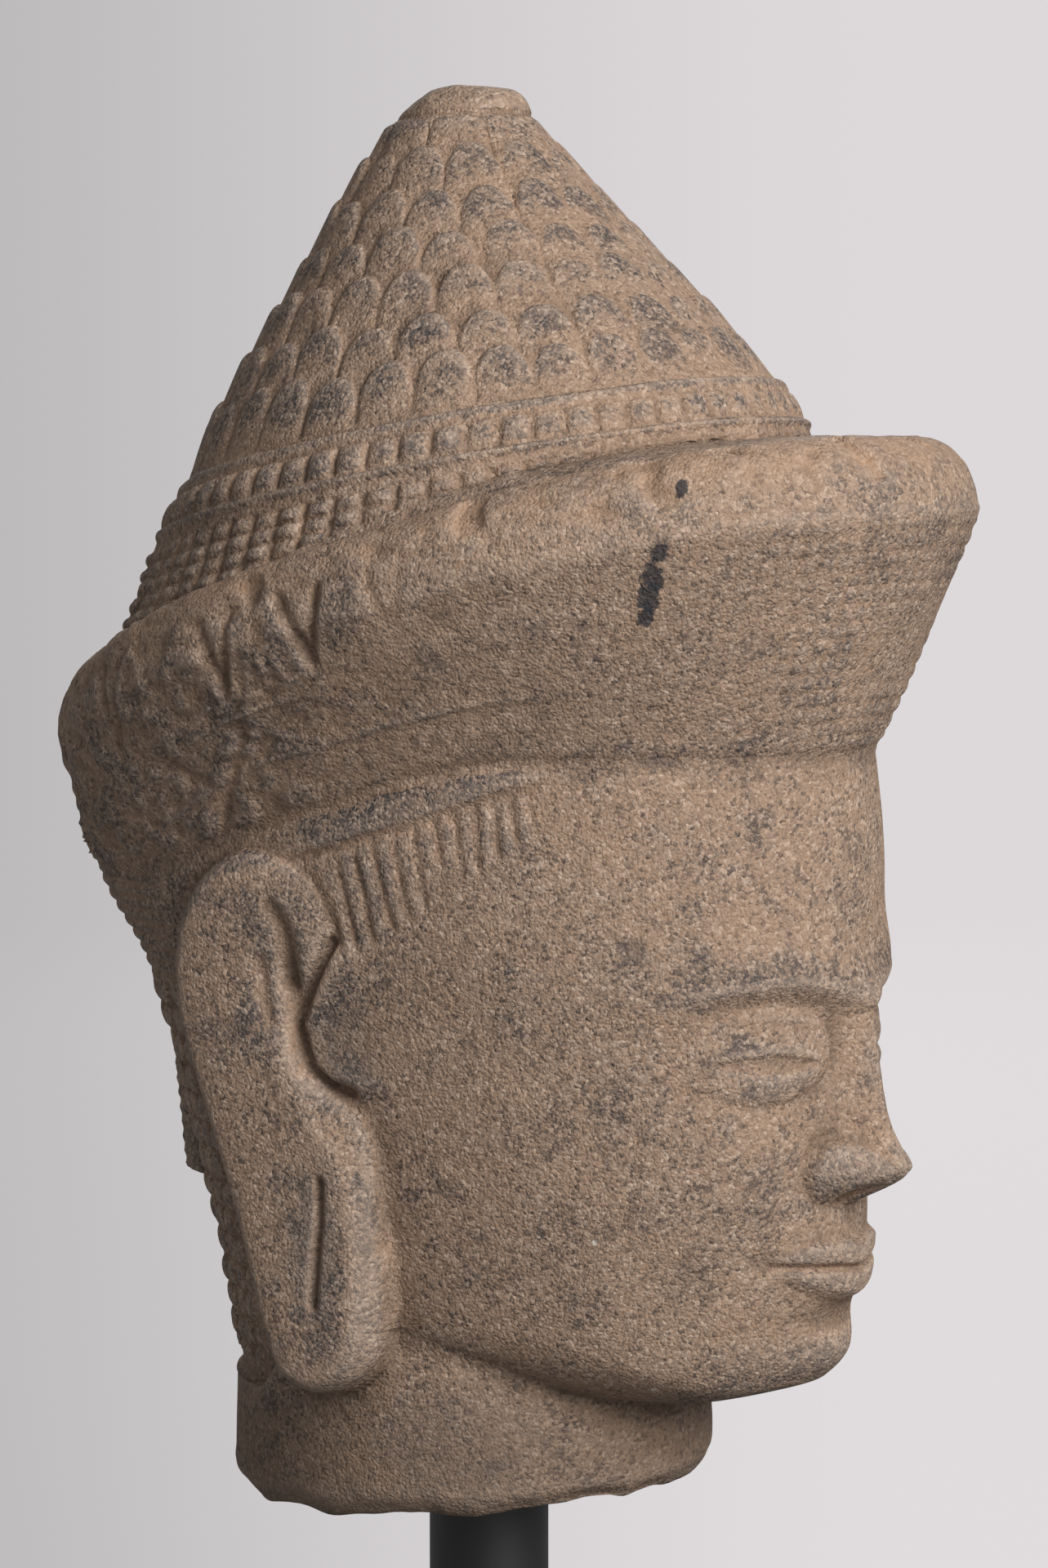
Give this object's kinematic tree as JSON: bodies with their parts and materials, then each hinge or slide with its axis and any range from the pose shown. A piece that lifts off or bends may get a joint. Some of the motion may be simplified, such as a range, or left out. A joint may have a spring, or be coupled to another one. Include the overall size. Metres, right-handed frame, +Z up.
{
  "type": "stone vishnu head",
  "caption": "Life-size carved sandstone head with a petalled cone crown and flared diadem, broken at the neck, on a black steel rod with a square foot.",
  "frame": {"origin": "centre of the steel foot's underside, on the rod's axis", "axes": "+Z up along the rod, the carved face looks towards -Y, the head's right ear is at -X"},
  "size_m": [0.24, 0.2696, 0.5304],
  "materials": {
    "sandstone": "weathered, coarse grained, matt brown sandstone",
    "black_steel": "satin black paint on steel"
  },
  "bodies": {
    "root": {"stone_head": "sandstone", "rod": "black_steel", "foot_plate": "black_steel"}
  },
  "joints": []
}
